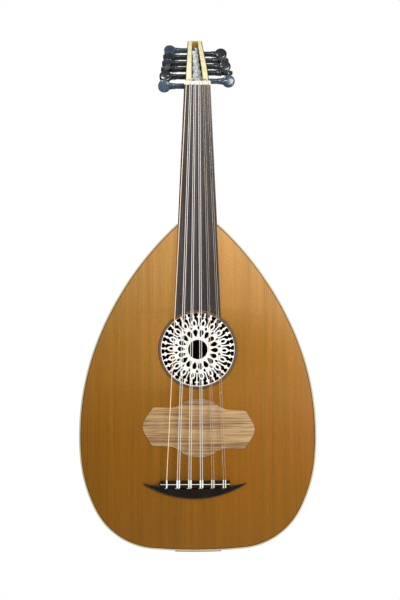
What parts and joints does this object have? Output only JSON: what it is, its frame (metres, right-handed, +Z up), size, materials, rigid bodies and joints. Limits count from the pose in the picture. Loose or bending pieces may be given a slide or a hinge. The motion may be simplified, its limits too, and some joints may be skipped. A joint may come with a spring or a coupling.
{
  "type": "oud",
  "caption": "Short-necked fretless lute with a pear-shaped soundboard, ribbed bowl back, pierced round rose, bent-back pegbox, side pegs and paired strings.",
  "frame": {"origin": "on the centreline, in the plane of the soundboard's face, at the edge of the nut where the strings' speaking length ends", "axes": "+Z up the neck towards the pegbox, -Y out of the soundboard towards the player's hand, +X towards the treble side"},
  "size_m": [0.3508, 0.1957, 0.7881],
  "materials": {
    "cedar": "satin oiled",
    "dark_inlay": "satin",
    "rose_white": "satin",
    "maple_binding": "satin",
    "maple": "satin",
    "neck_wood": "satin",
    "rib_dark": "gloss",
    "rib_red": "gloss",
    "spruce": "raw",
    "rosewood": "satin",
    "bone": "polished",
    "zebrano": "satin",
    "ebony": "polished",
    "string_copper": "wound",
    "string_silver": "wound",
    "string_nylon": "gloss"
  },
  "bodies": {
    "root": {"soundboard": "cedar", "soundhole_ring": "dark_inlay", "rose": "rose_white", "binding": "maple_binding", "rib_01": "rib_red", "rib_02": "rib_dark", "rib_03": "rib_red", "rib_04": "rib_dark", "rib_05": "rib_red", "rib_06": "rib_dark", "rib_07": "rib_red", "rib_08": "rib_dark", "rib_09": "rib_red", "rib_10": "rib_dark", "rib_11": "rib_red", "rib_12": "rib_dark", "rib_13": "rib_red", "rib_14": "rib_dark", "rib_15": "rib_red", "neck_block": "maple", "tail_block": "maple", "tail_clasp": "maple", "brace_1": "spruce", "brace_2": "spruce", "brace_3": "spruce", "brace_4": "spruce", "brace_5": "spruce", "brace_6": "spruce", "neck": "neck_wood", "fingerboard": "rosewood", "nut": "bone", "pickguard": "zebrano", "bridge": "ebony", "pegbox_bass_cheek": "neck_wood", "pegbox_treble_cheek": "neck_wood", "pegbox_back": "neck_wood", "pegbox_tip": "maple", "string_6": "string_copper", "string_5a": "string_silver", "string_5b": "string_silver", "string_4a": "string_silver", "string_4b": "string_silver", "string_3a": "string_silver", "string_3b": "string_silver", "string_2a": "string_nylon", "string_2b": "string_nylon", "string_1a": "string_nylon", "string_1b": "string_nylon"},
    "tuner_01": {"peg_01": "ebony"},
    "tuner_02": {"peg_02": "ebony"},
    "tuner_03": {"peg_03": "ebony"},
    "tuner_04": {"peg_04": "ebony"},
    "tuner_05": {"peg_05": "ebony"},
    "tuner_06": {"peg_06": "ebony"},
    "tuner_07": {"peg_07": "ebony"},
    "tuner_08": {"peg_08": "ebony"},
    "tuner_09": {"peg_09": "ebony"},
    "tuner_10": {"peg_10": "ebony"},
    "tuner_11": {"peg_11": "ebony"}
  },
  "joints": [
    {"name": "tuner_01_turn", "type": "hinge", "parent": "root", "child": "tuner_01", "pos_m": [0, 0.02685, 0.00222], "axis": [1, 0, 0], "continuous": true},
    {"name": "tuner_02_turn", "type": "hinge", "parent": "root", "child": "tuner_02", "pos_m": [0, 0.03995, 0.01175], "axis": [1, 0, 0], "continuous": true},
    {"name": "tuner_03_turn", "type": "hinge", "parent": "root", "child": "tuner_03", "pos_m": [0, 0.05349, 0.02065], "axis": [1, 0, 0], "continuous": true},
    {"name": "tuner_04_turn", "type": "hinge", "parent": "root", "child": "tuner_04", "pos_m": [0, 0.06742, 0.0289], "axis": [1, 0, 0], "continuous": true},
    {"name": "tuner_05_turn", "type": "hinge", "parent": "root", "child": "tuner_05", "pos_m": [0, 0.08174, 0.03649], "axis": [1, 0, 0], "continuous": true},
    {"name": "tuner_06_turn", "type": "hinge", "parent": "root", "child": "tuner_06", "pos_m": [0, 0.09635, 0.04348], "axis": [1, 0, 0], "continuous": true},
    {"name": "tuner_07_turn", "type": "hinge", "parent": "root", "child": "tuner_07", "pos_m": [0, 0.11092, 0.05055], "axis": [1, 0, 0], "continuous": true},
    {"name": "tuner_08_turn", "type": "hinge", "parent": "root", "child": "tuner_08", "pos_m": [0, 0.12538, 0.05787], "axis": [1, 0, 0], "continuous": true},
    {"name": "tuner_09_turn", "type": "hinge", "parent": "root", "child": "tuner_09", "pos_m": [0, 0.1397, 0.06543], "axis": [1, 0, 0], "continuous": true},
    {"name": "tuner_10_turn", "type": "hinge", "parent": "root", "child": "tuner_10", "pos_m": [0, 0.1539, 0.07324], "axis": [1, 0, 0], "continuous": true},
    {"name": "tuner_11_turn", "type": "hinge", "parent": "root", "child": "tuner_11", "pos_m": [0, 0.16796, 0.08128], "axis": [1, 0, 0], "continuous": true}
  ]
}
